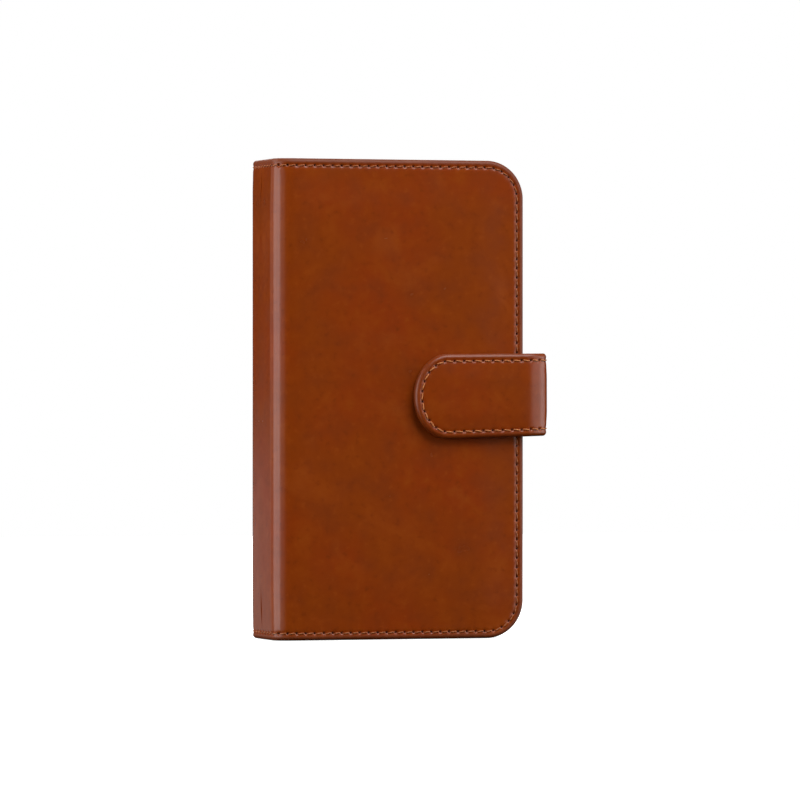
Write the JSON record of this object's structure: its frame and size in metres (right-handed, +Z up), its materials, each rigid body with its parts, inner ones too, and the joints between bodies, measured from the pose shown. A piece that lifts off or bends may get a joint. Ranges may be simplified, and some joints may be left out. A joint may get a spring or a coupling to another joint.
{
  "type": "phone wallet case",
  "caption": "Folio wallet case for a phone: stitched leather covers and spine, a magnetic closing strap, card and cash pockets, and a moulded phone tray.",
  "frame": {"origin": "centre of the bounding box's bottom face, on the surface that the closed case stands on", "axes": "+Z up along the case's height, the front cover faces -Y, the spine is at -X and the strap bends round the +X side"},
  "size_m": [0.0926, 0.0306, 0.156],
  "materials": {
    "leather": "smooth waxed saddle-brown leather with a soft gloss and faint mottling",
    "pocket_leather": "thin smooth saddle-brown leather, satin",
    "lining": "short-napped brown microfibre suede",
    "strap_lining": "thin smooth saddle-brown leather, satin",
    "board": "dense bookbinding board, unseen inside the covers",
    "padding": "thin felt padding, unseen under the leather",
    "adhesive": "acrylic bonding pad, unseen behind the tray",
    "tray": "soft moulded black thermoplastic, matt",
    "steel": "nickel-plated magnet discs, unseen inside",
    "thread": "waxed tan polyester sewing thread"
  },
  "bodies": {
    "back": {"back_leather": "leather", "back_board": "board", "back_lining": "lining", "tray_bond_pad": "adhesive", "phone_tray": "tray", "strap_tail": "leather", "back_seam_thread": "thread"},
    "spine": {"spine_leather": "leather", "spine_board": "board", "spine_lining": "lining", "spine_top_thread": "thread", "spine_bottom_thread": "thread"},
    "front_cover": {"front_leather": "leather", "front_padding": "padding", "front_board": "board", "front_magnet": "steel", "front_lining": "lining", "cash_pocket_panel": "pocket_leather", "card_slot_panel_1": "pocket_leather", "card_slot_panel_2": "pocket_leather", "card_slot_panel_3": "pocket_leather", "front_seam_thread": "thread"},
    "strap_band": {"band_leather": "leather", "band_lining": "strap_lining", "band_top_thread": "thread", "band_bottom_thread": "thread"},
    "strap_tab": {"tab_leather": "leather", "tab_core": "board", "tab_magnet": "steel", "tab_lining": "strap_lining", "tab_seam_thread": "thread"}
  },
  "joints": [
    {"name": "spine_fold", "type": "hinge", "parent": "back", "child": "spine", "pos_m": [-0.04557, 0.01457, 0.078], "axis": [0, 0, -1], "range_deg": [0, 175]},
    {"name": "cover_fold", "type": "hinge", "parent": "spine", "child": "front_cover", "pos_m": [-0.04484, -0.01024, 0.078], "axis": [0, 0, -1], "range_deg": [0, 175]},
    {"name": "strap_fold", "type": "hinge", "parent": "back", "child": "strap_band", "pos_m": [0.04484, 0.01234, 0.0796], "axis": [0, 0, 1], "range_deg": [0, 120]},
    {"name": "tab_fold", "type": "hinge", "parent": "strap_band", "child": "strap_tab", "pos_m": [0.04507, -0.01407, 0.0796], "axis": [0, 0, 1], "range_deg": [0, 150]}
  ]
}
